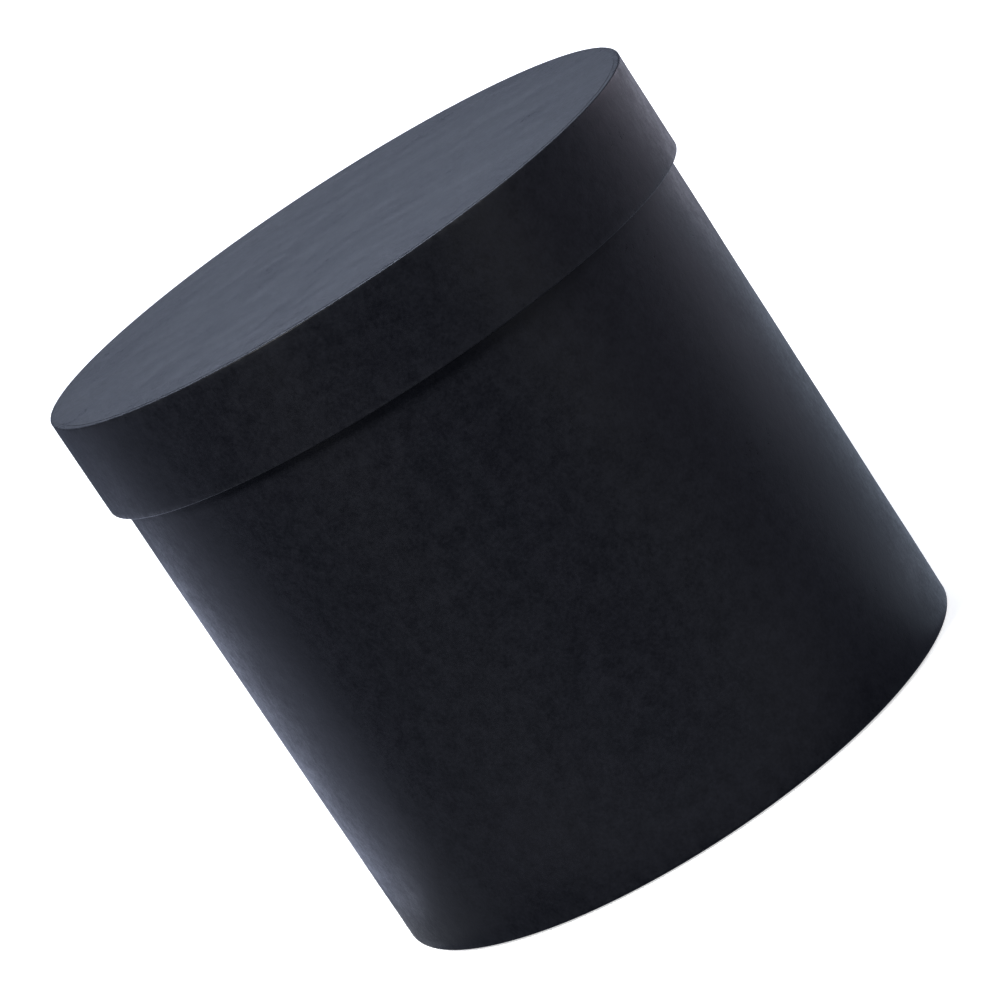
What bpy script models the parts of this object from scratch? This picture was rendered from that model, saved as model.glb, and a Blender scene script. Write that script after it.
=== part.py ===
"""Round rigid flower box with a lift-off lid.

A greyboard drum and a shallow greyboard cap, each closed by a board disc let into its end, are
covered and lined with thin black paper. Every sheet of paper and every board is its own object.
Run it with: blender --background --python part.py
Lengths are metres, +Z is up, and the origin is the middle of the underside. The front faces -Y.
"""

from math import cos, pi, radians, sin, tau

import bmesh
import bpy

# Overall sizes, over the covering paper
BOX_HEIGHT = 0.200
BODY_DIAMETER = 0.200
LID_HEIGHT = 0.0335

# Stock
BODY_BOARD = 0.0018
LID_BOARD = 0.0014
PAPER = 0.00025

# Clearances: a glue line between two layers, the lid's free play all round, its seat on the rim
GLUE_LINE = 0.0003
LID_PLAY = 0.0008
LID_SEAT = 0.0003

# How the sheets are cut: the margins that turn round an edge, and the setbacks from an edge
RIM_TURN_IN = 0.015
BASE_TURN_UNDER = 0.012
LID_TURN_OVER = 0.012
LID_TURN_IN = 0.020
LINING_SETBACK = 0.004
LINING_STEP = 0.003
COVER_SETBACK = 0.002
SEAM_GAP = 0.0003

# Board edges are slightly crushed, and never past this share of the board
BOARD_EDGE = 0.0006
MOST_EDGE_SHARE = 0.4

# The seams of the sheets, as angles from the back towards the box's right side
BODY_SEAM_TURN = radians(0)
BODY_LINING_SEAM_TURN = radians(40)
LID_SEAM_TURN = radians(25)
LID_LINING_SEAM_TURN = radians(-35)

# Fineness of the turned shapes
SEGMENTS = 72
BEND_STEPS = 3
BOARD_EDGE_STEPS = 1
MERGE_DISTANCE = 0.00001
SHARP_ANGLE = radians(35)

# Finishes: linear colour, roughness and metallic value
BLACK_PAPER = ("black_paper", (0.0105, 0.0110, 0.0150), 0.62, 0.0)
LINING_PAPER = ("lining_paper", (0.0125, 0.0125, 0.0140), 0.85, 0.0)
GREYBOARD = ("greyboard", (0.300, 0.275, 0.235), 0.92, 0.0)

# Worked out from the sizes above. A layer is one sheet on its glue line.
LAYER = PAPER + GLUE_LINE
BODY_RADIUS = BODY_DIAMETER / 2
BODY_EDGE = min(BOARD_EDGE, BODY_BOARD * MOST_EDGE_SHARE)
LID_EDGE = min(BOARD_EDGE, LID_BOARD * MOST_EDGE_SHARE)

# Body, radii from the outside in
TUBE_OUTER = BODY_RADIUS - LAYER
TUBE_INNER = TUBE_OUTER - BODY_BOARD
BODY_INSIDE = TUBE_INNER - LAYER

# Body, levels from the floor up
WRAP_UNDERSIDE = LAYER
BODY_BOARD_FOOT = WRAP_UNDERSIDE + LAYER
BASE_BOARD_TOP = BODY_BOARD_FOOT + BODY_BOARD
BASE_PAPER_FOOT = BASE_BOARD_TOP + GLUE_LINE
LID_FOOT = BOX_HEIGHT - LID_HEIGHT

# Lid, radii from the inside out
LID_INSIDE = BODY_RADIUS + LID_PLAY
LID_MARGIN_FACE = LID_INSIDE + LAYER
BAND_INNER = LID_MARGIN_FACE + LAYER
BAND_OUTER = BAND_INNER + LID_BOARD
LID_RADIUS = BAND_OUTER + LAYER

# Lid, levels above its lower edge
LID_BOARD_TOP = LID_HEIGHT - LAYER - LAYER
LID_DISC_FOOT = LID_BOARD_TOP - LID_BOARD
LID_CEILING = LID_DISC_FOOT - LAYER

# The body's rim stops one seat below the lid's ceiling
RIM = LID_FOOT + LID_CEILING - LID_SEAT


def clear_scene():
    """Remove whatever the scene holds."""
    for obj in list(bpy.data.objects):
        bpy.data.objects.remove(obj)


def make_material(finish):
    """One Principled material from a (name, colour, roughness, metallic) finish."""
    name, colour, roughness, metallic = finish
    material = bpy.data.materials.new(name)
    material.use_nodes = True
    material.diffuse_color = (*colour, 1)
    shader = material.node_tree.nodes["Principled BSDF"]
    shader.inputs["Base Color"].default_value = (*colour, 1)
    shader.inputs["Roughness"].default_value = roughness
    shader.inputs["Metallic"].default_value = metallic
    return material


def make_collection(name):
    """A collection linked to the scene."""
    collection = bpy.data.collections.new(name)
    bpy.context.scene.collection.children.link(collection)
    return collection


def make_axis(name, collection, level):
    """An empty on the box's axis that carries one moving group."""
    axis = bpy.data.objects.new(name, None)
    axis.location.z = level
    collection.objects.link(axis)
    return axis


def add_piece(name, mesh, axis, material):
    """A named object for a mesh, carried by its group's empty."""
    mesh.materials.append(material)
    piece = bpy.data.objects.new(name, mesh)
    piece.parent = axis
    axis.users_collection[0].objects.link(piece)
    return piece


def shade(piece):
    """Apply the piece's modifiers, and shade it smooth between its crisp edges."""
    graph = bpy.context.evaluated_depsgraph_get()
    mesh = bpy.data.meshes.new_from_object(piece.evaluated_get(graph))
    mesh.name = piece.name
    piece.modifiers.clear()
    piece.data = mesh
    mesh.shade_smooth()
    mesh.set_sharp_from_angle(angle=SHARP_ANGLE)


def bend(radius, level, reach, start, end):
    """Points of a quarter bend: an arc of radius reach about (radius, level), from start to end."""
    angles = [start + (end - start) * step / BEND_STEPS for step in range(BEND_STEPS + 1)]
    return [(radius + reach * cos(angle), level + reach * sin(angle)) for angle in angles]


def profile_mesh(name, points):
    """An open outline of (radius, level) points in the XZ plane."""
    mesh = bpy.data.meshes.new(name)
    vertices = [(radius, 0, level) for radius, level in points]
    edges = [(index, index + 1) for index in range(len(points) - 1)]
    mesh.from_pydata(vertices, edges, [])
    return mesh


def turn(piece, angle):
    """Turn the piece's outline about the box's axis."""
    screw = piece.modifiers.new("Turn", "SCREW")
    screw.axis = "Z"
    screw.angle = angle
    screw.steps = SEGMENTS
    screw.render_steps = SEGMENTS
    screw.use_merge_vertices = angle == tau
    screw.merge_threshold = MERGE_DISTANCE
    screw.use_smooth_shade = True


def thicken(piece, thickness):
    """Give the turned face its thickness, on the side away from the one that shows."""
    solidify = piece.modifiers.new("Thickness", "SOLIDIFY")
    solidify.thickness = thickness
    solidify.offset = -1
    solidify.use_even_offset = True


def round_edges(piece, width):
    """Take the square edges off a board."""
    bevel = piece.modifiers.new("Crushed edge", "BEVEL")
    bevel.width = width
    bevel.segments = BOARD_EDGE_STEPS
    bevel.limit_method = "ANGLE"
    bevel.angle_limit = SHARP_ANGLE


def add_sheet(name, points, axis, material, seam_turn):
    """A sheet of paper rolled once round the axis, its two ends meeting in a butt seam.

    The points are the face that shows. They run down an outer side or up an inner one.
    """
    sheet = add_piece(name, profile_mesh(name, points), axis, material)
    widest = max(radius for radius, _ in points)
    turn(sheet, tau - SEAM_GAP / widest)
    thicken(sheet, PAPER)
    sheet.rotation_euler.z = pi / 2 - seam_turn
    shade(sheet)


def add_tube(name, outer, board, foot, top, edge, axis, material):
    """A board cylinder, open at both ends."""
    tube = add_piece(name, profile_mesh(name, [(outer, top), (outer, foot)]), axis, material)
    turn(tube, tau)
    thicken(tube, board)
    round_edges(tube, edge)
    shade(tube)


def add_disc(name, radius, thickness, foot, axis, material):
    """A flat round of board or paper."""
    builder = bmesh.new()
    bmesh.ops.create_cone(
        builder,
        cap_ends=True,
        segments=SEGMENTS,
        radius1=radius,
        radius2=radius,
        depth=thickness,
    )
    mesh = bpy.data.meshes.new(name)
    builder.to_mesh(mesh)
    builder.free()
    disc = add_piece(name, mesh, axis, material)
    disc.location.z = foot + thickness / 2
    shade(disc)


def body_wrap_points():
    """The body's covering: in over the rim, down the outside and under the base."""
    reach = BODY_EDGE + LAYER
    inner = BODY_INSIDE + reach
    outer = BODY_RADIUS - reach
    return [
        (BODY_INSIDE, RIM - RIM_TURN_IN),
        *bend(inner, RIM - reach, reach, pi, pi / 2),
        *bend(outer, RIM - reach, reach, pi / 2, 0),
        *bend(outer, WRAP_UNDERSIDE + reach, reach, 0, -pi / 2),
        (BODY_RADIUS - BASE_TURN_UNDER, WRAP_UNDERSIDE),
    ]


def lid_wrap_points():
    """The lid's covering: in over the top, down the outside and up inside the band."""
    reach = LID_EDGE + LAYER
    inner = LID_MARGIN_FACE + reach
    outer = LID_RADIUS - reach
    top = LID_HEIGHT - LAYER
    return [
        (LID_RADIUS - LID_TURN_OVER, top),
        *bend(outer, top - reach, reach, pi / 2, 0),
        *bend(outer, reach, reach, 0, -pi / 2),
        *bend(inner, reach, reach, -pi / 2, -pi),
        (LID_MARGIN_FACE, LID_TURN_IN),
    ]


def body_lining_points():
    """The body's lining: up the board from the base, then one layer in over the wrap's margin."""
    step = RIM - RIM_TURN_IN - GLUE_LINE
    return [
        (BODY_INSIDE, BASE_PAPER_FOOT),
        (BODY_INSIDE, step - LINING_STEP),
        (BODY_INSIDE - LAYER, step),
        (BODY_INSIDE - LAYER, RIM - LINING_SETBACK),
    ]


def lid_lining_points():
    """The band's lining: over the wrap's margin, then one layer out onto the board above it."""
    step = LID_TURN_IN + GLUE_LINE
    return [
        (LID_INSIDE, LINING_SETBACK),
        (LID_INSIDE, step),
        (LID_MARGIN_FACE, step + LINING_STEP),
        (LID_MARGIN_FACE, LID_DISC_FOOT - GLUE_LINE),
    ]


def build_body(collection, paper, lining, board):
    """The open drum: tube and base board, its covering, its lining and its two base papers."""
    axis = make_axis("box_axis", collection, 0)
    add_tube("body_board_tube", TUBE_OUTER, BODY_BOARD, BODY_BOARD_FOOT, RIM - LAYER, BODY_EDGE, axis, board)
    add_disc("base_board_disc", TUBE_INNER - GLUE_LINE, BODY_BOARD, BODY_BOARD_FOOT, axis, board)
    add_sheet("body_wrap_paper", body_wrap_points(), axis, paper, BODY_SEAM_TURN)
    add_sheet("body_lining_paper", body_lining_points(), axis, lining, BODY_LINING_SEAM_TURN)
    add_disc("base_outer_paper", BODY_RADIUS - COVER_SETBACK, PAPER, 0, axis, paper)
    add_disc("base_inner_paper", BODY_INSIDE - GLUE_LINE, PAPER, BASE_PAPER_FOOT, axis, lining)


def build_lid(collection, paper, lining, board):
    """The cap: band and disc boards, their covering, the top sheet and the inside papers."""
    axis = make_axis("lid_axis", collection, LID_FOOT)
    add_tube("lid_board_band", BAND_OUTER, LID_BOARD, LAYER, LID_BOARD_TOP, LID_EDGE, axis, board)
    add_disc("lid_board_disc", BAND_INNER - GLUE_LINE, LID_BOARD, LID_DISC_FOOT, axis, board)
    add_sheet("lid_wrap_paper", lid_wrap_points(), axis, paper, LID_SEAM_TURN)
    add_sheet("lid_lining_paper", lid_lining_points(), axis, lining, LID_LINING_SEAM_TURN)
    add_disc("lid_top_paper", LID_RADIUS - COVER_SETBACK, PAPER, LID_HEIGHT - PAPER, axis, paper)
    add_disc("lid_inner_paper", LID_MARGIN_FACE - GLUE_LINE, PAPER, LID_CEILING, axis, lining)


def main():
    """Build the box, closed, standing on the floor."""
    clear_scene()
    collection = make_collection("round_flower_box")
    paper = make_material(BLACK_PAPER)
    lining = make_material(LINING_PAPER)
    board = make_material(GREYBOARD)
    build_body(collection, paper, lining, board)
    build_lid(collection, paper, lining, board)


main()
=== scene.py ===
"""Round flower box with a lift-off lid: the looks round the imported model.

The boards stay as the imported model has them. Every paper is made again here as a thin closed sheet, with
its bends, its lap seam, its cut edges and the slow waves of hand-glued paper, and rides on the body that it
is glued to. Lengths are in metres, +Z is up, and the front that the camera sees faces -Y. A turn round the
axis is measured from the back (+Y) towards the box's right side (+X).
"""

import logging
import math
from dataclasses import dataclass, field, replace
from enum import Enum

import bpy
import numpy as np
from mathutils import Matrix, Vector


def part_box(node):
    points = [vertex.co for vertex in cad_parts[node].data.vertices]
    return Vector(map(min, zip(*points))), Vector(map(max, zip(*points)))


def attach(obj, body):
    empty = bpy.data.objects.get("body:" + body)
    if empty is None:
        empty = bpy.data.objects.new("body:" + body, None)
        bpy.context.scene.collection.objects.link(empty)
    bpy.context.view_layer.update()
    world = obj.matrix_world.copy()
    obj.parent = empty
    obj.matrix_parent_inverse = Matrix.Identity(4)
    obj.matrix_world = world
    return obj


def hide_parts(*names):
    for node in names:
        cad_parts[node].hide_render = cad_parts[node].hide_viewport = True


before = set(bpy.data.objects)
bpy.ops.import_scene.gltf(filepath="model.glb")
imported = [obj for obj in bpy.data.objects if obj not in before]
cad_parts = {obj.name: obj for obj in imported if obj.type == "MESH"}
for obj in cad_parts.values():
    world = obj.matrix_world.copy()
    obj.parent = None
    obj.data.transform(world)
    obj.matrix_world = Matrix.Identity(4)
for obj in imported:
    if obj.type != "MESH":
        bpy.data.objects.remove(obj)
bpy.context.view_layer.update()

MILLIMETRE = 0.001
FULL_TURN = 2.0 * math.pi
WHITE = (1.0, 1.0, 1.0)

# Points of a path that lie closer than this are one point
SAME_POINT = 1e-7

# A disc starts on this small ring, and a sheet's fans close what is inside it
AXIS_RING = 1.0 * MILLIMETRE

# Level of the lamps under the floor
UNDER_FLOOR = -2.0 * MILLIMETRE

# Faces that meet at a greater angle keep a sharp edge
SHARP_ANGLE = math.radians(50.0)

# The Mix node's sockets for colours, whose names it uses for its other kinds too
MIX_SHARE = 0
MIX_FIRST = 6
MIX_SECOND = 7
MIX_RESULT = 2

Pair = tuple[float, float]
Place = tuple[float, float, float]
Colour = tuple[float, float, float]
Socket = bpy.types.NodeSocket

log = logging.getLogger("flower_box")


class Carrier(Enum):
    """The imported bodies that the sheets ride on."""

    BOX = "box"
    LID = "lid"


class Slot(Enum):
    """Material slots named for the sheets; place() takes one for each sheet and doesn't use it."""

    BLACK_PAPER = "black_paper"
    LINING_PAPER = "lining_paper"


class Side(Enum):
    """Which side of a path the visible face looks to, seen along the path with height upwards."""

    LEFT = 1.0
    RIGHT = -1.0


def straight(start: Pair, end: Pair, steps: int) -> np.ndarray:
    """Radius and height of a line's points: the start plus an even share of the way to the end."""
    share = np.linspace(0.0, 1.0, steps + 1)[:, None]
    return np.array(start) + share * (np.array(end) - np.array(start))


def bend(centre: Pair, radius: float, first: float, last: float, steps: int) -> np.ndarray:
    """Points of an arc: the centre plus the radius times cosine and sine of an angle, given in degrees."""
    angle = np.radians(np.linspace(first, last, steps + 1))
    return np.array(centre) + radius * np.stack([np.cos(angle), np.sin(angle)], axis=1)


def ease(share: np.ndarray) -> np.ndarray:
    """Three times the square less twice the cube of a share that is held between 0 and 1."""
    held = np.clip(share, 0.0, 1.0)
    return held * held * (3.0 - 2.0 * held)


def step_over(start: Pair, end: Pair, steps: int, across: int) -> np.ndarray:
    """Points of a soft step: one coordinate runs evenly and the other eases from start to end.

    Args:
        start: Radius and height of the first point.
        end: Radius and height of the last point.
        steps: Number of equal steps.
        across: Column that eases, 0 for the radius and 1 for the height.

    Returns:
        Radius and height of each point, one row a point.
    """
    points = straight(start, end, steps)
    share = np.linspace(0.0, 1.0, steps + 1)
    points[:, across] = start[across] + ease(share) * (end[across] - start[across])
    return points


def join(*parts: np.ndarray) -> np.ndarray:
    """Parts one after another, without the points that the next part repeats.

    Args:
        parts: Paths of radius and height.

    Returns:
        One path of radius and height.
    """
    points = np.concatenate(parts)
    moved = np.linalg.norm(np.diff(points, axis=0), axis=1) > SAME_POINT
    return points[np.concatenate([[True], moved])]


@dataclass(frozen=True)
class Extent:
    """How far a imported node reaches."""

    radius: float
    low: float
    high: float

    @classmethod
    def of(cls, node: str) -> "Extent":
        """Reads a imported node's box: its outer radius and its lowest and highest level."""
        low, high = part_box(node)
        return cls(radius=max(high.x, high.y, -low.x, -low.y), low=low.z, high=high.z)


def packed(node: str) -> Extent:
    """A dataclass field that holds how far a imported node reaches."""
    return field(default_factory=lambda: Extent.of(node))


@dataclass(frozen=True)
class Waves:
    """The slow waves that stretched and glued paper keeps."""

    height: float
    shortest: float
    longest: float
    count: int
    seed: int

    def at(self, points: np.ndarray) -> np.ndarray:
        """Height of the waves at points in space.

        Each wave is the sine of a fixed wave vector times the point plus a fixed phase. The sum of all waves
        is divided by the root of half their count, and a hyperbolic tangent holds it within twice the height.

        Args:
            points: Points, with x, y and z in the last axis.

        Returns:
            The height at each point.
        """
        draw = np.random.default_rng(self.seed)
        direction = draw.normal(size=(self.count, 3))
        direction /= np.linalg.norm(direction, axis=1, keepdims=True)
        length = np.exp(draw.uniform(math.log(self.shortest), math.log(self.longest), self.count))
        vector = direction * (FULL_TURN / length)[:, None]
        phase = draw.uniform(0.0, FULL_TURN, self.count)
        total = np.sin(points @ vector.T + phase).sum(axis=-1) / math.sqrt(self.count / 2.0)
        return 2.0 * self.height * np.tanh(total / 2.0)


@dataclass(frozen=True)
class Seam:
    """How the two ends of a strip meet round the axis: one laps the other, or they butt with a gap."""

    turn: float
    lap: float = 0.0
    gap: float = 0.1 * MILLIMETRE
    # Length in which the end climbs onto the start, and how high, in thicknesses of the paper
    ramp: float = 2.5 * MILLIMETRE
    rise: float = 1.1
    # Grid columns of the lap and its ramps
    steps: int = 24
    # How much the lapping end is rubbed, and the grid columns in which that fades
    wear: float = 0.6
    wear_columns: float = 12.0


@dataclass
class RoundSheet:
    """A thin sheet whose visible face is a path turned round the axis.

    The two shares say how much of the waves and of the lap each point of the path has. A sheet without a seam
    closes on itself.
    """

    name: str
    path: np.ndarray
    side: Side
    thickness: float
    columns: int = 288
    waves: Waves | None = None
    wave_share: np.ndarray | None = None
    seam: Seam | None = None
    lap_share: np.ndarray | None = None
    # Radius of a bend that is rubbed all over, and how much the cut edge at the path's end is
    bend_radius: float = 1.15 * MILLIMETRE
    worn_edge: float = 0.0
    # Distance in which wear fades
    worn_reach: float = 0.7 * MILLIMETRE

    @property
    def is_disc(self) -> bool:
        """Whether the path starts at the axis."""
        return bool(self.path[0, 0] < 2.0 * AXIS_RING)

    def lengths(self) -> np.ndarray:
        """Length of the path from its start to each point."""
        return np.concatenate([[0.0], np.linalg.norm(np.diff(self.path, axis=0), axis=1).cumsum()])

    def normals(self) -> np.ndarray:
        """Unit normals: the path's direction turned by a quarter circle to the visible side.

        Returns:
            The normal of each point of the path.
        """
        along = np.gradient(self.path, self.lengths(), axis=0)
        normal = self.side.value * np.stack([-along[:, 1], along[:, 0]], axis=1)
        return normal / np.linalg.norm(normal, axis=1, keepdims=True)

    def bend_wear(self) -> np.ndarray:
        """How much each point of the path is rubbed, from 0 to 1.

        The turn of the normal per length, where the sheet bulges outwards, times the usual bend radius gives
        the wear of a point. It fades to its neighbours as the exponential of minus the squared distance over
        the reach, and a cut edge adds its own share in the same way.

        Returns:
            The wear of each point.
        """
        lengths = self.lengths()
        normal = self.normals()
        turning = np.gradient(np.unwrap(np.arctan2(normal[:, 1], normal[:, 0])), lengths)
        bulge = np.clip(-self.side.value * turning * self.bend_radius, 0.0, 1.0)
        fade = np.exp(-(((lengths[:, None] - lengths[None, :]) / self.worn_reach) ** 2))
        ends = self.worn_edge * np.exp(-(((lengths[-1] - lengths) / self.worn_reach) ** 2))
        return np.clip(np.maximum((fade * bulge[None, :]).max(axis=1), ends), 0.0, 1.0)

    def face_wear(self) -> np.ndarray:
        """How much the visible face is rubbed: its bends, and a lapping end in the same fading way.

        Returns:
            The wear of each grid point, from 0 to 1.
        """
        worn = np.tile(self.bend_wear()[:, None], (1, self.columns))
        if self.seam is not None and self.seam.lap > 0.0:
            distance = np.arange(self.columns)[::-1] / self.seam.wear_columns
            worn = np.maximum(worn, self.seam.wear * np.exp(-(distance**2)))
        return worn

    def turns(self) -> tuple[np.ndarray, np.ndarray]:
        """Angle and lift of the grid's points round the axis.

        Without a seam the angle runs evenly round the circle. A strip starts at its seam and runs a full turn
        plus the lap, or less the gap where it has no lap. Its end eases up by the seam's rise just before it
        lies over its start.

        Returns:
            The angle and the lift over the resting face, each with a row for each point of the path.
        """
        rows = len(self.path)
        seam = self.seam
        if seam is None:
            angle = np.linspace(0.0, FULL_TURN, self.columns, endpoint=False)
            return np.tile(angle, (rows, 1)), np.zeros((rows, self.columns))
        reach = np.median(self.path[:, 0])
        share = np.zeros(rows) if self.lap_share is None else self.lap_share
        close = (seam.lap + 2.0 * seam.ramp) / (FULL_TURN * reach + seam.lap)
        fine = np.linspace(1.0 - close, 1.0, seam.steps + 1)
        run = np.concatenate([np.linspace(0.0, 1.0 - close, self.columns - seam.steps)[:-1], fine])
        whole = FULL_TURN + (seam.lap * share - seam.gap * (1.0 - share)) / reach
        angle = whole[:, None] * run[None, :]
        climb = 1.0 + (angle - FULL_TURN) * reach / seam.ramp
        lift = seam.rise * self.thickness * ease(climb) * share[:, None]
        return seam.turn + angle, lift

    def turned(self, offset: np.ndarray, normal: np.ndarray, around: np.ndarray) -> np.ndarray:
        """The path moved along its normals and turned round the axis.

        Args:
            offset: How far each grid point is moved.
            normal: Normal of each point of the path.
            around: Sine and cosine of each grid point's angle.

        Returns:
            The grid's points in space.
        """
        radius = self.path[:, 0, None] + offset * normal[:, 0, None]
        height = self.path[:, 1, None] + offset * normal[:, 1, None]
        return np.concatenate([radius[..., None] * around, height[..., None]], axis=-1)

    def grids(self) -> tuple[np.ndarray, np.ndarray]:
        """The two faces of the sheet as grids.

        A point is the path's radius along the direction (sine, cosine) of its angle and the path's height.
        The visible face is moved along the path's normal by the lift and the waves, and the glued face lies
        the thickness behind it.

        Returns:
            The visible and the glued face, with the path along the first axis and the turn along the second.
        """
        normal = self.normals()
        angle, lift = self.turns()
        around = np.stack([np.sin(angle), np.cos(angle)], axis=-1)
        if self.waves is not None:
            resting = self.turned(np.zeros_like(lift), normal, around)
            lift = lift + self.waves.at(resting) * self.wave_share[:, None]
        return self.turned(lift, normal, around), self.turned(lift - self.thickness, normal, around)

    def faces(self, number: np.ndarray) -> np.ndarray:
        """Faces of four corners: a ring of both grids round the path, and the ends of a strip.

        Args:
            number: Corner numbers of the visible and the glued grid.

        Returns:
            Rows of four corner numbers.
        """
        whole = self.seam is None
        ring = np.concatenate([number[0], number[1][::-1]])
        here = ring if whole else ring[:, :-1]
        there = np.roll(ring, -1, axis=1) if whole else ring[:, 1:]
        onward = np.roll(np.arange(len(ring)), -1)
        kept = slice(None, -1) if self.is_disc else slice(None)
        around = np.stack([here, there, there[onward], here[onward]], axis=-1)[kept].reshape(-1, 4)
        if whole:
            return around
        (top, last_top), (under, last_under) = number[0].T[[0, -1]], number[1].T[[0, -1]]
        start = np.stack([top[:-1], top[1:], under[1:], under[:-1]], axis=-1)
        end = np.stack([last_under[:-1], last_under[1:], last_top[1:], last_top[:-1]], axis=-1)
        return np.concatenate([around, start, end])

    def fans(self, number: np.ndarray, pole: int) -> np.ndarray:
        """Faces of three corners that close the middle of a disc.

        Args:
            number: Corner numbers of the visible and the glued grid.
            pole: Number of the visible face's middle corner, which the glued face's follows.

        Returns:
            Rows of three corner numbers.
        """
        top, under = number[:, 0]
        middle = np.full(len(top), pole)
        over = np.stack([np.roll(top, -1), top, middle], axis=-1)
        below = np.stack([under, np.roll(under, -1), middle + 1], axis=-1)
        return np.concatenate([over, below])

    def build(self) -> bpy.types.Object:
        """Makes the sheet as one closed mesh with smooth faces and sharp cut edges.

        Returns:
            The new object at the origin.
        """
        front, back = self.grids()
        points = np.concatenate([front.reshape(-1, 3), back.reshape(-1, 3)])
        number = np.arange(len(points)).reshape(2, *front.shape[:2])
        wear = np.concatenate([self.face_wear().ravel(), np.zeros(number[1].size)])
        fans = np.zeros((0, 3), int)
        if self.is_disc:
            fans = self.fans(number, len(points))
            points = np.concatenate([points, [front[0].mean(axis=0), back[0].mean(axis=0)]])
            wear = np.concatenate([wear, [0.0, 0.0]])
        return mesh_object(self.name, points, self.faces(number), fans, wear)


def signed_volume(points: np.ndarray, faces: np.ndarray) -> float:
    """Six times the volume that the faces enclose, positive where they point outwards.

    It is the sum over each face's fan of triangles of a corner times the cross product of the other two.

    Args:
        points: Corners of the mesh.
        faces: Rows of corner numbers, three or four a face.

    Returns:
        The sum of the triple products.
    """
    total = 0.0
    for last in range(2, faces.shape[1]):
        a, b, c = points[faces[:, 0]], points[faces[:, last - 1]], points[faces[:, last]]
        total += float(np.einsum("ij,ij->", a, np.cross(b, c)))
    return total


def mesh_object(
    name: str, points: np.ndarray, quads: np.ndarray, fans: np.ndarray, wear: np.ndarray
) -> bpy.types.Object:
    """Puts whole arrays into a new mesh whose faces point outwards.

    Args:
        name: Name of the object and its mesh.
        points: Corners, one row each.
        quads: Faces of four corners.
        fans: Faces of three corners, which may be none.
        wear: How much each corner is rubbed, from 0 to 1.

    Returns:
        The new object, linked to the scene at the origin.
    """
    if signed_volume(points, quads) + signed_volume(points, fans) < 0.0:
        quads, fans = quads[:, ::-1], fans[:, ::-1]
    mesh = bpy.data.meshes.new(name)
    mesh.vertices.add(len(points))
    mesh.vertices.foreach_set("co", points.astype(np.float32).ravel())
    corners = np.concatenate([quads.ravel(), fans.ravel()]).astype(np.int32)
    sizes = np.concatenate([np.full(len(quads), 4), np.full(len(fans), 3)])
    mesh.loops.add(len(corners))
    mesh.loops.foreach_set("vertex_index", corners)
    mesh.polygons.add(len(sizes))
    mesh.polygons.foreach_set("loop_start", np.concatenate([[0], sizes.cumsum()[:-1]]).astype(np.int32))
    mesh.polygons.foreach_set("use_smooth", np.ones(len(sizes), bool))
    mesh.update(calc_edges=True)
    mesh.validate()
    mesh.set_sharp_from_angle(angle=SHARP_ANGLE)
    mesh.attributes.new("wear", "FLOAT", "POINT").data.foreach_set("value", wear.astype(np.float32))
    piece = bpy.data.objects.new(name, mesh)
    bpy.context.scene.collection.objects.link(piece)
    return piece


@dataclass(frozen=True)
class Pattern:
    """A cloudy noise pattern.

    It has the size of its largest features, the number of finer octaves and the share that each keeps, the
    lowest and highest value that count, and a distortion.
    """

    size: float
    detail: float
    roughness: float
    span: Pair = (0.3, 0.7)
    bent: float = 0.0


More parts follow.
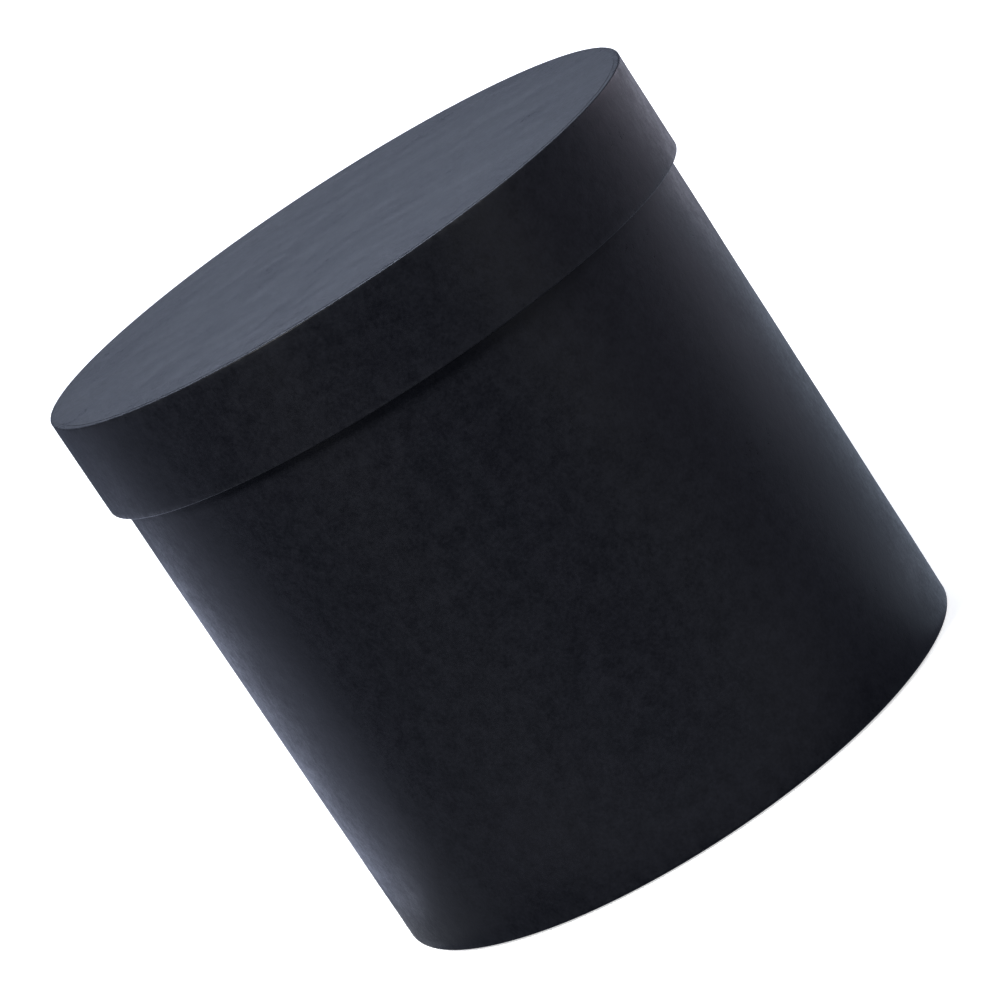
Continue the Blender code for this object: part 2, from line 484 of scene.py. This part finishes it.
class Graph:
    """A material's node tree, with short ways to add nodes and join them."""

    def __init__(self, name: str) -> None:
        """Starts a material with a Principled shader and the piece's own coordinates.

        Args:
            name: Name of the material.
        """
        self.material = bpy.data.materials.new(name)
        self.material.use_nodes = True
        self.tree = self.material.node_tree
        self.shader = self.tree.nodes["Principled BSDF"]
        self.place = self.tree.nodes.new("ShaderNodeTexCoord").outputs["Object"]

    def join(self, value: Socket | float | Colour, socket: Socket) -> None:
        """Links a socket to another, or sets it to a plain number or an opaque colour.

        Args:
            value: Socket to link from, or number or colour to set.
            socket: Socket that takes it.
        """
        if isinstance(value, Socket):
            self.tree.links.new(value, socket)
        else:
            socket.default_value = (*value, 1.0) if isinstance(value, tuple) else value

    def set(self, name: str, value: Socket | float | Colour) -> None:
        """Gives one of the shader's own sockets its value."""
        self.join(value, self.shader.inputs[name])

    def add(self, kind: str, result: str | int, values: dict, **options: str) -> Socket:
        """Adds a node.

        Args:
            kind: Type of the node.
            result: Name or number of the output that is wanted.
            values: What each input takes, by the input's name or number.
            options: The node's own settings.

        Returns:
            The wanted output.
        """
        node = self.tree.nodes.new(kind)
        for name, option in options.items():
            setattr(node, name, option)
        for name, value in values.items():
            self.join(value, node.inputs[name])
        return node.outputs[result]

    def noise(self, pattern: Pattern) -> Socket:
        """The plain noise of a pattern.

        Args:
            pattern: The pattern.

        Returns:
            The noise value.
        """
        values = {"Vector": self.place, "Scale": 1.0 / pattern.size, "Distortion": pattern.bent}
        values |= {"Detail": pattern.detail, "Roughness": pattern.roughness}
        return self.add("ShaderNodeTexNoise", "Fac", values)

    def cells(self, size: float) -> Socket:
        """Distance to the nearest edge in a pattern of irregular cells of the given size."""
        values = {"Vector": self.place, "Scale": 1.0 / size}
        return self.add("ShaderNodeTexVoronoi", "Distance", values, feature="DISTANCE_TO_EDGE")

    def spread(self, value: Socket, span: Pair, onto: Pair = (0.0, 1.0)) -> Socket:
        """A value's span laid over another span, and held in it."""
        ends = {"From Min": span[0], "From Max": span[1], "To Min": onto[0], "To Max": onto[1]}
        return self.add("ShaderNodeMapRange", "Result", {"Value": value, **ends})

    def cloud(self, pattern: Pattern, onto: Pair = (0.0, 1.0)) -> Socket:
        """A pattern's noise with its span laid over another."""
        return self.spread(self.noise(pattern), pattern.span, onto)

    def combine(self, kind: str, first: Socket, second: Socket | float) -> Socket:
        """Two values put together by an operation such as ADD or MULTIPLY."""
        return self.add("ShaderNodeMath", "Value", {0: first, 1: second}, operation=kind)

    def weigh(self, first: Socket, share: float, second: Socket) -> Socket:
        """Sum of two values, the first times its share and the second times the rest."""
        part = self.combine("MULTIPLY", first, share)
        return self.combine("ADD", part, self.combine("MULTIPLY", second, 1.0 - share))

    def blend(self, share: Socket, first: Socket | Colour, second: Socket | Colour) -> Socket:
        """The first colour going over into the second as the share grows."""
        values = {MIX_SHARE: share, MIX_FIRST: first, MIX_SECOND: second}
        return self.add("ShaderNodeMix", MIX_RESULT, values, data_type="RGBA")

    def distance(self) -> Socket:
        """Distance of a point from the origin."""
        return self.add("ShaderNodeVectorMath", "Value", {0: self.place}, operation="LENGTH")

    def attribute(self, name: str) -> Socket:
        """A number that the mesh keeps at its corners."""
        return self.add("ShaderNodeAttribute", "Fac", {}, attribute_name=name)

    def bump(self, height: Socket, depth: float, before: Socket | None = None) -> Socket:
        """A normal bent by a height pattern, over a normal that may be bent already.

        Args:
            height: The pattern, from 0 to 1.
            depth: Height in metres between 0 and 1.
            before: A normal that is already bent.

        Returns:
            The new normal.
        """
        values = {"Strength": 1.0, "Distance": depth, "Height": height}
        if before is not None:
            values["Normal"] = before
        return self.add("ShaderNodeBump", "Normal", values)


@dataclass(frozen=True)
class PaperFinish:
    """Uncoated dyed paper: cloudy formation, short felted fibres and rubbed edges."""

    name: str
    dark: Colour
    light: Colour
    rubbed: Colour
    roughness: float
    roughness_swing: float
    specular: float
    sheen: float = 0.0
    sheen_roughness: float = 0.45
    sheen_tint: Colour = (0.80, 0.85, 1.0)
    cloud: Pattern = Pattern(4.4 * MILLIMETRE, 3.0, 0.6, (0.32, 0.68))
    grain: Pattern = Pattern(1.1 * MILLIMETRE, 3.0, 0.65)
    fibre: Pattern = Pattern(0.42 * MILLIMETRE, 2.0, 0.55, bent=0.8)
    patches: Pattern = Pattern(2.3 * MILLIMETRE, 3.0, 0.7, (0.42, 0.62))
    # The gloss of the whole sheet changes slowly by this swing
    sweep: Pattern = Pattern(24.0 * MILLIMETRE, 1.0, 0.5, (0.32, 0.68))
    sweep_swing: float = 0.02
    # Size of a felted cell in fibres, and the distances to its edge that count
    felt_cells: float = 1.7
    felt_span: Pair = (0.0, 0.22)
    # Share of the cloud in the tone, and of the fibres in the gloss and in the relief
    cloud_tone: float = 0.5
    fibre_gloss: float = 0.5
    fibre_relief: float = 0.7
    gloss_span: Pair = (0.3, 1.2)
    burnish: float = 0.12
    cloud_depth: float = 0.030 * MILLIMETRE
    fibre_depth: float = 0.020 * MILLIMETRE

    def material(self) -> bpy.types.Material:
        """Makes the paper's material.

        The tone is the cloud and the grain by their shares. The gloss follows the tone plus a share of the
        fibres, swings slowly, and is smoother where the paper is rubbed. The relief is the cloud, and over it
        the fibres and the felt by their shares.

        Returns:
            The material.
        """
        graph = Graph(self.name)
        cloud = graph.cloud(self.cloud)
        fibre = graph.noise(self.fibre)
        felt = graph.spread(graph.cells(self.fibre.size * self.felt_cells), self.felt_span)
        tone = graph.weigh(cloud, self.cloud_tone, graph.cloud(self.grain))
        wear = graph.combine("MULTIPLY", graph.attribute("wear"), graph.cloud(self.patches))
        graph.set("Base Color", graph.blend(wear, graph.blend(tone, self.dark, self.light), self.rubbed))
        reach = (self.roughness - self.roughness_swing, self.roughness + self.roughness_swing)
        fleck = graph.combine("ADD", graph.combine("MULTIPLY", fibre, self.fibre_gloss), tone)
        sweep = graph.cloud(self.sweep, onto=(-self.sweep_swing, self.sweep_swing))
        rough = graph.combine("ADD", graph.spread(fleck, self.gloss_span, reach), sweep)
        burnish = graph.combine("MULTIPLY", wear, self.burnish)
        graph.set("Roughness", graph.combine("SUBTRACT", rough, burnish))
        relief = graph.weigh(fibre, self.fibre_relief, felt)
        graph.set("Normal", graph.bump(relief, self.fibre_depth, graph.bump(cloud, self.cloud_depth)))
        graph.set("Specular IOR Level", self.specular)
        graph.set("Sheen Weight", self.sheen)
        graph.set("Sheen Roughness", self.sheen_roughness)
        graph.set("Sheen Tint", self.sheen_tint)
        return graph.material


@dataclass(frozen=True)
class BoardFinish:
    """Recycled greyboard: warm grey pulp in darker and paler clouds, with dark specks."""

    name: str = "greyboard_pulp"
    pulp: Colour = (0.265, 0.240, 0.205)
    pale: Colour = (0.360, 0.335, 0.290)
    speck: Colour = (0.110, 0.100, 0.090)
    roughness: float = 0.9
    roughness_swing: float = 0.06
    specular: float = 0.25
    cloud: Pattern = Pattern(4.0 * MILLIMETRE, 4.0, 0.6)
    fibre: Pattern = Pattern(0.6 * MILLIMETRE, 3.0, 0.6, bent=1.0)
    specks: Pattern = Pattern(1.4 * MILLIMETRE, 2.0, 0.5, (0.66, 0.72))
    fibre_depth: float = 0.03 * MILLIMETRE

    def material(self) -> bpy.types.Material:
        """Makes the board's material.

        Returns:
            The material.
        """
        graph = Graph(self.name)
        pulp = graph.blend(graph.cloud(self.cloud), self.pulp, self.pale)
        graph.set("Base Color", graph.blend(graph.cloud(self.specks), pulp, self.speck))
        fibre = graph.noise(self.fibre)
        reach = (self.roughness - self.roughness_swing, self.roughness + self.roughness_swing)
        graph.set("Roughness", graph.spread(fibre, self.fibre.span, reach))
        graph.set("Normal", graph.bump(fibre, self.fibre_depth))
        graph.set("Specular IOR Level", self.specular)
        return graph.material


COVER_PAPER = PaperFinish(
    name="black_paper",
    dark=(0.0029, 0.0031, 0.0043),
    light=(0.0076, 0.0080, 0.0104),
    rubbed=(0.0100, 0.0105, 0.0125),
    roughness=0.37,
    roughness_swing=0.08,
    specular=0.09,
)
HANDLED_PAPER = replace(COVER_PAPER, name="black_paper_handled", sweep_swing=0.035)
LINING_STOCK = PaperFinish(
    name="lining_paper",
    dark=(0.0090, 0.0090, 0.0102),
    light=(0.0145, 0.0145, 0.0162),
    rubbed=(0.0300, 0.0300, 0.0320),
    roughness=0.80,
    roughness_swing=0.06,
    specular=0.18,
    sheen=0.03,
    cloud=replace(PaperFinish.cloud, size=7.0 * MILLIMETRE),
    fibre=replace(PaperFinish.fibre, size=0.55 * MILLIMETRE),
)


@dataclass(frozen=True)
class Finishes:
    """The materials that the sub-assemblies share."""

    cover: bpy.types.Material
    handled: bpy.types.Material
    lining: bpy.types.Material
    board: bpy.types.Material

    @classmethod
    def make(cls) -> "Finishes":
        """Makes each material once."""
        return cls(*(kind.material() for kind in (COVER_PAPER, HANDLED_PAPER, LINING_STOCK, BoardFinish())))


@dataclass
class SubAssembly:
    """Boards and papers that move as one."""

    finishes: Finishes
    carrier: Carrier
    boards: tuple[str, ...]
    paper: float = 0.25 * MILLIMETRE
    lap: float = 12.0 * MILLIMETRE
    # Distances from a bend in which the covering's waves and its lap die out
    calm: float = 6.0 * MILLIMETRE
    lap_fade: float = 3.0 * MILLIMETRE
    # How far the lap goes on inside the turned-in margin, and the part of that in which it dies out
    tuck: float = 6.0 * MILLIMETRE
    tuck_fade: float = 5.0 * MILLIMETRE
    # How far a lining steps over the margin, and the step's ends from the margin's edge
    margin_step: float = 0.55 * MILLIMETRE
    step_start: float = 0.3 * MILLIMETRE
    step_end: float = 3.3 * MILLIMETRE

    def dress_boards(self) -> None:
        """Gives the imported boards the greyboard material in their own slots."""
        for name in self.boards:
            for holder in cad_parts[name].material_slots:
                holder.material = self.finishes.board

    def place(self, sheet: RoundSheet, node: str, slot: Slot, finish: bpy.types.Material) -> None:
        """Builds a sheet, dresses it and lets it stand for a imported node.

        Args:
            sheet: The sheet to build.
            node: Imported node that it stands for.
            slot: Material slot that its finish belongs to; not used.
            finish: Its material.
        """
        piece = sheet.build()
        piece.data.materials.append(finish)
        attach(piece, self.carrier.value)
        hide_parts(node)
        log.info("%s: %d faces, rides on %s", piece.name, len(piece.data.polygons), self.carrier.value)


@dataclass
class BoxBody(SubAssembly):
    """The drum: board tube and base with their covering, lining and base sheets."""

    carrier: Carrier = Carrier.BOX
    boards: tuple[str, ...] = ("body_board_tube", "base_board_disc")
    # From the covering's outer face to its inner one
    wall: float = 2.9 * MILLIMETRE
    corner: float = 0.95 * MILLIMETRE
    rim_turn_in: float = 15.0 * MILLIMETRE
    base_turn_under: float = 12.0 * MILLIMETRE
    # How far the base sheet is pressed up inside the margin, and its step's ends in and out from there
    base_press: float = 0.2 * MILLIMETRE
    base_step: Pair = (2.5 * MILLIMETRE, 0.3 * MILLIMETRE)
    cover: Extent = packed("body_wrap_paper")
    inside: Extent = packed("body_lining_paper")
    base: Extent = packed("base_outer_paper")
    floor: Extent = packed("base_inner_paper")
    waves: Waves = Waves(0.045 * MILLIMETRE, 22.0 * MILLIMETRE, 90.0 * MILLIMETRE, count=28, seed=11)
    lining_waves: Waves = Waves(0.03 * MILLIMETRE, 20.0 * MILLIMETRE, 80.0 * MILLIMETRE, count=20, seed=23)
    floor_waves: Waves = Waves(0.03 * MILLIMETRE, 25.0 * MILLIMETRE, 70.0 * MILLIMETRE, count=16, seed=31)
    # Distance from the floor in which the lining's waves die out, and from its edge for the floor sheet's
    lining_calm: float = 5.0 * MILLIMETRE
    floor_calm: float = 8.0 * MILLIMETRE
    lining_turn: float = math.radians(40.0)

    def covering(self) -> RoundSheet:
        """The outer sheet: up inside the rim, over it, down the wall, round the foot and under the base.

        Returns:
            The sheet.
        """
        outer = self.cover.radius - self.waves.height
        inner, top, foot, corner = outer - self.wall, self.cover.high, self.cover.low, self.corner
        path = join(
            straight((inner, top - self.rim_turn_in), (inner, top - corner), steps=8),
            bend((inner + corner, top - corner), corner, first=180.0, last=90.0, steps=7),
            bend((outer - corner, top - corner), corner, first=90.0, last=0.0, steps=7),
            straight((outer, top - corner), (outer, foot + corner), steps=64),
            bend((outer - corner, foot + corner), corner, first=0.0, last=-90.0, steps=7),
            straight((outer - corner, foot), (outer - self.base_turn_under, foot), steps=5),
        )
        radius, height = path.T
        near = ease(np.minimum(top - corner - height, height - foot - corner) / self.calm)
        on_wall = (radius > outer - 0.5 * corner).astype(float)
        above_foot = ease((height - foot - corner) / self.lap_fade) * (radius > outer - corner)
        over_rim = (height > top - corner).astype(float)
        inside = ease((height - top + self.tuck) / self.tuck_fade) * (radius < inner + corner)
        return RoundSheet(
            name="body_covering",
            path=path,
            side=Side.LEFT,
            thickness=self.paper,
            columns=300,
            waves=self.waves,
            wave_share=near * on_wall,
            seam=Seam(turn=0.0, lap=self.lap),
            lap_share=np.maximum(above_foot, np.maximum(over_rim, inside)),
            bend_radius=corner,
        )

    def lining(self) -> RoundSheet:
        """The sheet inside the wall, which steps inwards over the covering's turned-in margin.

        Returns:
            The sheet.
        """
        face = self.inside.radius - self.paper
        raised = face - self.margin_step
        margin = self.cover.high - self.rim_turn_in
        low, high = margin - self.step_end, margin - self.step_start
        path = join(
            straight((face, self.inside.low), (face, low), steps=30),
            step_over((face, low), (raised, high), steps=8, across=0),
            straight((raised, high), (raised, self.inside.high), steps=6),
        )
        return RoundSheet(
            name="body_lining",
            path=path,
            side=Side.LEFT,
            thickness=self.paper,
            columns=240,
            waves=self.lining_waves,
            wave_share=ease((path[:, 1] - self.inside.low) / self.lining_calm),
            seam=Seam(turn=self.lining_turn),
            worn_edge=0.5,
        )

    def base_outer_sheet(self) -> RoundSheet:
        """The disc under the base, pressed up a little inside the covering's turned-under margin.

        Returns:
            The sheet.
        """
        margin = self.cover.radius - self.base_turn_under
        start, end = margin - self.base_step[0], margin + self.base_step[1]
        level, sunk = self.base.low, self.base.low + self.base_press
        path = join(
            straight((AXIS_RING, sunk), (start, sunk), steps=16),
            step_over((start, sunk), (end, level), steps=8, across=1),
            straight((end, level), (self.base.radius, level), steps=6),
        )
        return RoundSheet("base_outer_sheet", path, Side.RIGHT, self.paper, columns=240, worn_edge=0.9)

    def base_inner_sheet(self) -> RoundSheet:
        """The disc on the inside floor, with the slight waves of a loose-laid sheet.

        Returns:
            The sheet.
        """
        path = straight((AXIS_RING, self.floor.high), (self.floor.radius, self.floor.high), steps=30)
        return RoundSheet(
            name="base_inner_sheet",
            path=path,
            side=Side.LEFT,
            thickness=self.paper,
            columns=200,
            waves=self.floor_waves,
            wave_share=ease((self.floor.radius - path[:, 0]) / self.floor_calm),
            worn_edge=0.3,
        )

    def build(self) -> None:
        """Builds and dresses everything that stands on the table."""
        self.dress_boards()
        black, lining = self.finishes.cover, self.finishes.lining
        self.place(self.covering(), "body_wrap_paper", Slot.BLACK_PAPER, black)
        self.place(self.lining(), "body_lining_paper", Slot.LINING_PAPER, lining)
        self.place(self.base_outer_sheet(), "base_outer_paper", Slot.BLACK_PAPER, black)
        self.place(self.base_inner_sheet(), "base_inner_paper", Slot.LINING_PAPER, lining)


@dataclass
class Lid(SubAssembly):
    """The cap: board band and disc with their covering, lining, top sheet and inner sheet."""

    carrier: Carrier = Carrier.LID
    boards: tuple[str, ...] = ("lid_board_band", "lid_board_disc")
    calm: float = 4.0 * MILLIMETRE
    # From the covering's outer face to its inner one
    wall: float = 2.5 * MILLIMETRE
    corner: float = 0.45 * MILLIMETRE
    turn_over: float = 12.0 * MILLIMETRE
    turn_in: float = 20.0 * MILLIMETRE
    # How far the turned-over margin and the top sheet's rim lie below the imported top
    margin_drop: float = 0.13 * MILLIMETRE
    top_drop: float = 0.045 * MILLIMETRE
    # How far the top sheet is pressed down inside the margin, and its step's ends in and out from there
    top_press: float = 0.05 * MILLIMETRE
    top_step: Pair = (3.0 * MILLIMETRE, 0.5 * MILLIMETRE)
    top_paper: float = 0.15 * MILLIMETRE
    cover: Extent = packed("lid_wrap_paper")
    inside: Extent = packed("lid_lining_paper")
    top: Extent = packed("lid_top_paper")
    under: Extent = packed("lid_inner_paper")
    # Room that the covering leaves for its waves, in heights of a wave
    wave_room: float = 1.2
    waves: Waves = Waves(0.035 * MILLIMETRE, 22.0 * MILLIMETRE, 80.0 * MILLIMETRE, count=28, seed=47)
    top_waves: Waves = Waves(0.022 * MILLIMETRE, 12.0 * MILLIMETRE, 45.0 * MILLIMETRE, count=40, seed=59)
    # Distances in which the top's waves grow from its rim, and double inside the margin
    rim_calm: float = 4.0 * MILLIMETRE
    middle_rise: float = 10.0 * MILLIMETRE
    cover_turn: float = math.radians(25.0)
    lining_turn: float = math.radians(-35.0)

    def covering(self) -> RoundSheet:
        """The outer strip: over the top's edge, down the band, round its foot and up inside.

        Returns:
            The sheet.
        """
        outer = self.cover.radius - self.wave_room * self.waves.height
        inner, foot, corner = outer - self.wall, self.cover.low, self.corner
        top = self.top.high - self.margin_drop
        path = join(
            straight((outer - self.turn_over, top), (outer - corner, top), steps=6),
            bend((outer - corner, top - corner), corner, first=90.0, last=0.0, steps=8),
            straight((outer, top - corner), (outer, foot + corner), steps=20),
            bend((outer - corner, foot + corner), corner, first=0.0, last=-90.0, steps=7),
            bend((inner + corner, foot + corner), corner, first=270.0, last=180.0, steps=7),
            straight((inner, foot + corner), (inner, foot + self.turn_in), steps=8),
        )
        radius, height = path.T
        near = ease(np.minimum(top - corner - height, height - foot - corner) / self.calm)
        on_wall = (radius > outer - 0.5 * corner).astype(float)
        below_top = ease((top - corner - height) / self.lap_fade) * (radius > outer - corner)
        round_foot = (height < foot + corner).astype(float)
        inside = ease((foot + self.tuck - height) / self.tuck_fade) * (radius < inner + corner)
        return RoundSheet(
            name="lid_covering",
            path=path,
            side=Side.LEFT,
            thickness=self.paper,
            columns=300,
            waves=self.waves,
            wave_share=near * on_wall,
            seam=Seam(turn=self.cover_turn, lap=self.lap),
            lap_share=np.maximum(below_top, np.maximum(round_foot, inside)),
            bend_radius=corner,
        )

    def lining(self) -> RoundSheet:
        """The strip inside the band, which steps outwards above the covering's turned-in margin.

        Returns:
            The sheet.
        """
        face = self.inside.radius - self.paper
        raised = face - self.margin_step
        margin = self.cover.low + self.turn_in
        low, high = margin + self.step_start, margin + self.step_end
        path = join(
            straight((raised, self.inside.low), (raised, low), steps=8),
            step_over((raised, low), (face, high), steps=8, across=0),
            straight((face, high), (face, self.inside.high), steps=5),
        )
        seam = Seam(turn=self.lining_turn)
        return RoundSheet("lid_lining", path, Side.LEFT, self.paper, columns=240, seam=seam)

    def top_sheet(self) -> RoundSheet:
        """The disc on the lid, faintly sunk inside the covering's turned-over margin.

        Returns:
            The sheet.
        """
        margin = self.cover.radius - self.turn_over
        start, end = margin - self.top_step[0], margin + self.top_step[1]
        level = self.top.high - self.top_drop
        sunk = level - self.top_press
        path = join(
            straight((AXIS_RING, sunk), (start, sunk), steps=40),
            step_over((start, sunk), (end, level), steps=8, across=1),
            straight((end, level), (self.top.radius, level), steps=8),
        )
        rim, middle = self.top.radius - path[:, 0], margin - path[:, 0]
        return RoundSheet(
            name="lid_top_sheet",
            path=path,
            side=Side.LEFT,
            thickness=self.top_paper,
            waves=self.top_waves,
            wave_share=ease(rim / self.rim_calm) * (1.0 + ease(middle / self.middle_rise)),
            worn_edge=0.8,
        )

    def inner_sheet(self) -> RoundSheet:
        """The disc under the lid board, which comes down on the drum's rim."""
        path = straight((AXIS_RING, self.under.low), (self.under.radius, self.under.low), steps=30)
        return RoundSheet("lid_inner_sheet", path, Side.RIGHT, self.paper, columns=200)

    def build(self) -> None:
        """Builds and dresses everything that lifts off."""
        self.dress_boards()
        black, lining = self.finishes.cover, self.finishes.lining
        self.place(self.covering(), "lid_wrap_paper", Slot.BLACK_PAPER, black)
        self.place(self.lining(), "lid_lining_paper", Slot.LINING_PAPER, lining)
        self.place(self.top_sheet(), "lid_top_paper", Slot.BLACK_PAPER, self.finishes.handled)
        self.place(self.inner_sheet(), "lid_inner_paper", Slot.LINING_PAPER, lining)


@dataclass(frozen=True)
class SoftBox:
    """A large soft lamp that looks at its target and is not seen itself."""

    name: str
    place: Place
    target: Place
    size: Pair
    power: float
    colour: Colour = WHITE

    @classmethod
    def under(cls, name: str, spot: Pair, size: Pair, power: float, colour: Colour) -> "SoftBox":
        """A lamp just under the floor that shines straight up, for the light off the table."""
        return cls(name, (*spot, UNDER_FLOOR), (*spot, 1.0), size, power, colour)

    def build(self) -> None:
        """Hangs the lamp and turns it to its target."""
        lamp = bpy.data.lights.new(self.name, "AREA")
        lamp.shape = "RECTANGLE"
        lamp.size, lamp.size_y = self.size
        lamp.energy = self.power
        lamp.color = self.colour
        holder = bpy.data.objects.new(self.name, lamp)
        holder.location = self.place
        look = Vector(self.target) - Vector(self.place)
        holder.rotation_mode = "QUATERNION"
        holder.rotation_quaternion = look.to_track_quat("-Z", "Y")
        holder.visible_camera = False
        bpy.context.scene.collection.objects.link(holder)


@dataclass
class Studio:
    """Pale floor and backdrop, soft lamps and an even sky."""

    sky: Colour = (0.174, 0.202, 0.282)
    floor_level: float = -0.3 * MILLIMETRE
    floor_reach: float = 7.0
    backdrop_reach: float = 8.5
    # Height angles of the backdrop's lower and upper edge, in degrees
    backdrop_rise: Pair = (-6.0, 89.9)
    # Grid rows and columns of the floor and the backdrop
    rings: int = 40
    spokes: int = 96
    floor_tone: Colour = (0.80, 0.80, 0.80)
    backdrop_tone: Colour = (0.0, 0.0, 0.0)
    stage_roughness: float = 0.9
    # The stage's own light near the box and far from it, and the distances between which it changes
    floor_glow: float = 0.62
    far_glow: float = 1.02
    glow_span: Pair = (0.25, 1.3)
    # Clouds of the stage's finish, and their tone as a share of its colour
    stage_cloud: Pattern = Pattern(0.35, 3.0, 0.5)
    cloud_tone: float = 0.97
    # Name, place, target, size, power and colour; under the floor one spot is both place and target
    lamps: tuple[SoftBox, ...] = (
        SoftBox("key_left", (-1.10, -1.25, 1.60), (0.0, 0.0, 0.12), (0.70, 0.70), 62.4),
        SoftBox("key_right", (1.28, -1.07, 1.60), (0.0, 0.0, 0.12), (0.70, 0.70), 19.9),
        SoftBox("low_left", (-1.00, -1.15, 0.20), (0.0, 0.0, 0.10), (0.30, 0.36), 0.92),
        SoftBox("low_right", (1.00, -1.15, 0.20), (0.0, 0.0, 0.10), (0.60, 0.36), 2.49),
        SoftBox("back_top", (0.0, 1.90, 1.60), (0.0, 0.0, 0.15), (0.70, 0.80), 17.5, (0.70, 0.79, 1.0)),
        SoftBox("wall_right", (1.75, 1.10, 0.20), (0.0, 0.0, 0.10), (1.40, 0.36), 6.12, (0.94, 0.83, 1.0)),
        SoftBox.under("table_left", (-0.497, 0.36), (0.74, 0.72), 1.90, (0.70, 0.76, 1.0)),
        SoftBox.under("table_right", (0.47, 0.29), (0.74, 0.66), 0.767, (0.70, 0.83, 1.0)),
        SoftBox.under("table_side", (0.85, -0.10), (0.90, 0.80), 1.36, (0.88, 0.82, 1.0)),
        SoftBox.under("table_back", (0.85, 0.95), (1.00, 0.70), 2.20, (0.86, 0.85, 1.0)),
        SoftBox.under("table_front", (0.0, -0.33), (0.90, 0.42), 0.213, WHITE),
        SoftBox.under("foot_left", (-0.175, -0.07), (0.15, 0.22), 0.0363, (0.90, 0.93, 1.0)),
        SoftBox.under("foot_right", (0.21, -0.09), (0.16, 0.26), 0.0342, (0.78, 0.83, 1.0)),
        SoftBox.under("foot_front", (0.0, -0.17), (0.36, 0.12), 0.0650, (0.86, 0.89, 1.0)),
    )

    def stage_material(self, name: str, tone: Colour, glow: float) -> bpy.types.Material:
        """A plain pale finish with a faint cloudiness and its own soft glow, which grows with the distance.

        Args:
            name: Name of the material.
            tone: Its colour.
            glow: Its own brightness near the box.

        Returns:
            The material.
        """
        graph = Graph(name)
        clouded = tuple(self.cloud_tone * part for part in tone)
        graph.set("Base Color", graph.blend(graph.cloud(self.stage_cloud), clouded, tone))
        graph.set("Roughness", self.stage_roughness)
        graph.set("Specular IOR Level", 0.0)
        graph.set("Emission Color", WHITE)
        glowing = graph.spread(graph.distance(), self.glow_span, (glow, self.far_glow))
        graph.set("Emission Strength", glowing)
        return graph.material

    def surface(self, name: str, points: np.ndarray, material: bpy.types.Material) -> None:
        """Adds a stage surface from a grid that closes on itself along its second axis.

        It shows itself to the camera and takes the box's shadow, and leaves the light as it is.

        Args:
            name: Name of the object.
            points: Grid of points.
            material: Its finish.
        """
        rows, columns = points.shape[:2]
        number = np.arange(rows * columns).reshape(rows, columns)
        following = np.roll(number, -1, axis=1)
        quads = np.stack([number[:-1], following[:-1], following[1:], number[1:]], axis=-1).reshape(-1, 4)
        mesh = bpy.data.meshes.new(name)
        mesh.from_pydata(points.reshape(-1, 3).tolist(), [], quads.tolist())
        mesh.polygons.foreach_set("use_smooth", np.ones(len(quads), bool))
        mesh.materials.append(material)
        piece = bpy.data.objects.new(name, mesh)
        piece.visible_diffuse = False
        piece.visible_glossy = False
        piece.visible_shadow = False
        bpy.context.scene.collection.objects.link(piece)

    def around(self) -> np.ndarray:
        """Sine and cosine of the angle of each grid column."""
        angle = np.linspace(0.0, FULL_TURN, self.spokes, endpoint=False)[None, :, None]
        return np.concatenate([np.sin(angle), np.cos(angle)], axis=-1)

    def floor(self) -> None:
        """The floor: rings whose radius grows as the square of an even share, all on one level."""
        share = np.linspace(0.0, 1.0, self.rings)[:, None, None]
        flat = (AXIS_RING + self.floor_reach * share**2) * self.around()
        level = np.full((*flat.shape[:2], 1), self.floor_level)
        material = self.stage_material("floor", self.floor_tone, self.floor_glow)
        self.surface("floor", np.concatenate([flat, level], axis=-1), material)

    def backdrop(self) -> None:
        """The backdrop: a dome, the reach times cosine and sine of the height angle and of the turn."""
        rise = np.radians(np.linspace(*self.backdrop_rise, self.rings))[:, None, None]
        upward = np.tile(np.sin(rise), (1, self.spokes, 1))
        dome = self.backdrop_reach * np.concatenate([np.cos(rise) * self.around(), upward], axis=-1)
        self.surface("backdrop", dome, self.stage_material("backdrop", self.backdrop_tone, self.far_glow))

    def world(self) -> None:
        """The even sky that fills the shadows."""
        world = bpy.data.worlds.new("sky")
        world.use_nodes = True
        background = world.node_tree.nodes["Background"]
        background.inputs["Color"].default_value = (*self.sky, 1.0)
        background.inputs["Strength"].default_value = 1.0
        bpy.context.scene.world = world

    def build(self) -> None:
        """Sets up the stage and its light."""
        self.world()
        self.floor()
        self.backdrop()
        for lamp in self.lamps:
            lamp.build()
        bpy.context.scene.view_settings.view_transform = "Standard"


@dataclass(frozen=True)
class PhotoCamera:
    """The camera at the photograph's place, with the photograph's turn about its own axis."""

    place: Place = (-0.0017, -1.5331, 0.4441)
    # In degrees
    pitch_down: float = 12.602
    turn: float = -33.328
    # In millimetres, as a camera's lens and sensor are given
    lens: float = 181.74
    sensor: float = 36.0
    # Nearest and farthest distance that it sees
    clip: Pair = (0.05, 40.0)

    def build(self) -> None:
        """Makes the camera and gives it to the scene."""
        data = bpy.data.cameras.new("photo_camera")
        data.lens = self.lens
        data.sensor_width = self.sensor
        data.clip_start, data.clip_end = self.clip
        camera = bpy.data.objects.new("photo_camera", data)
        tilt = Matrix.Rotation(math.radians(90.0 - self.pitch_down), 4, "X")
        turn = Matrix.Rotation(math.radians(self.turn), 4, "Z")
        camera.matrix_world = Matrix.Translation(self.place) @ tilt @ turn
        bpy.context.scene.collection.objects.link(camera)
        bpy.context.scene.camera = camera


def main() -> None:
    """Builds the finishes, the drum, the lid, the studio and the camera, in that order."""
    logging.basicConfig(level=logging.INFO, format="%(name)s %(message)s")
    finishes = Finishes.make()
    for part in (BoxBody(finishes), Lid(finishes), Studio(), PhotoCamera()):
        part.build()
        log.info("%s: built", type(part).__name__)


if __name__ == "__main__":
    main()
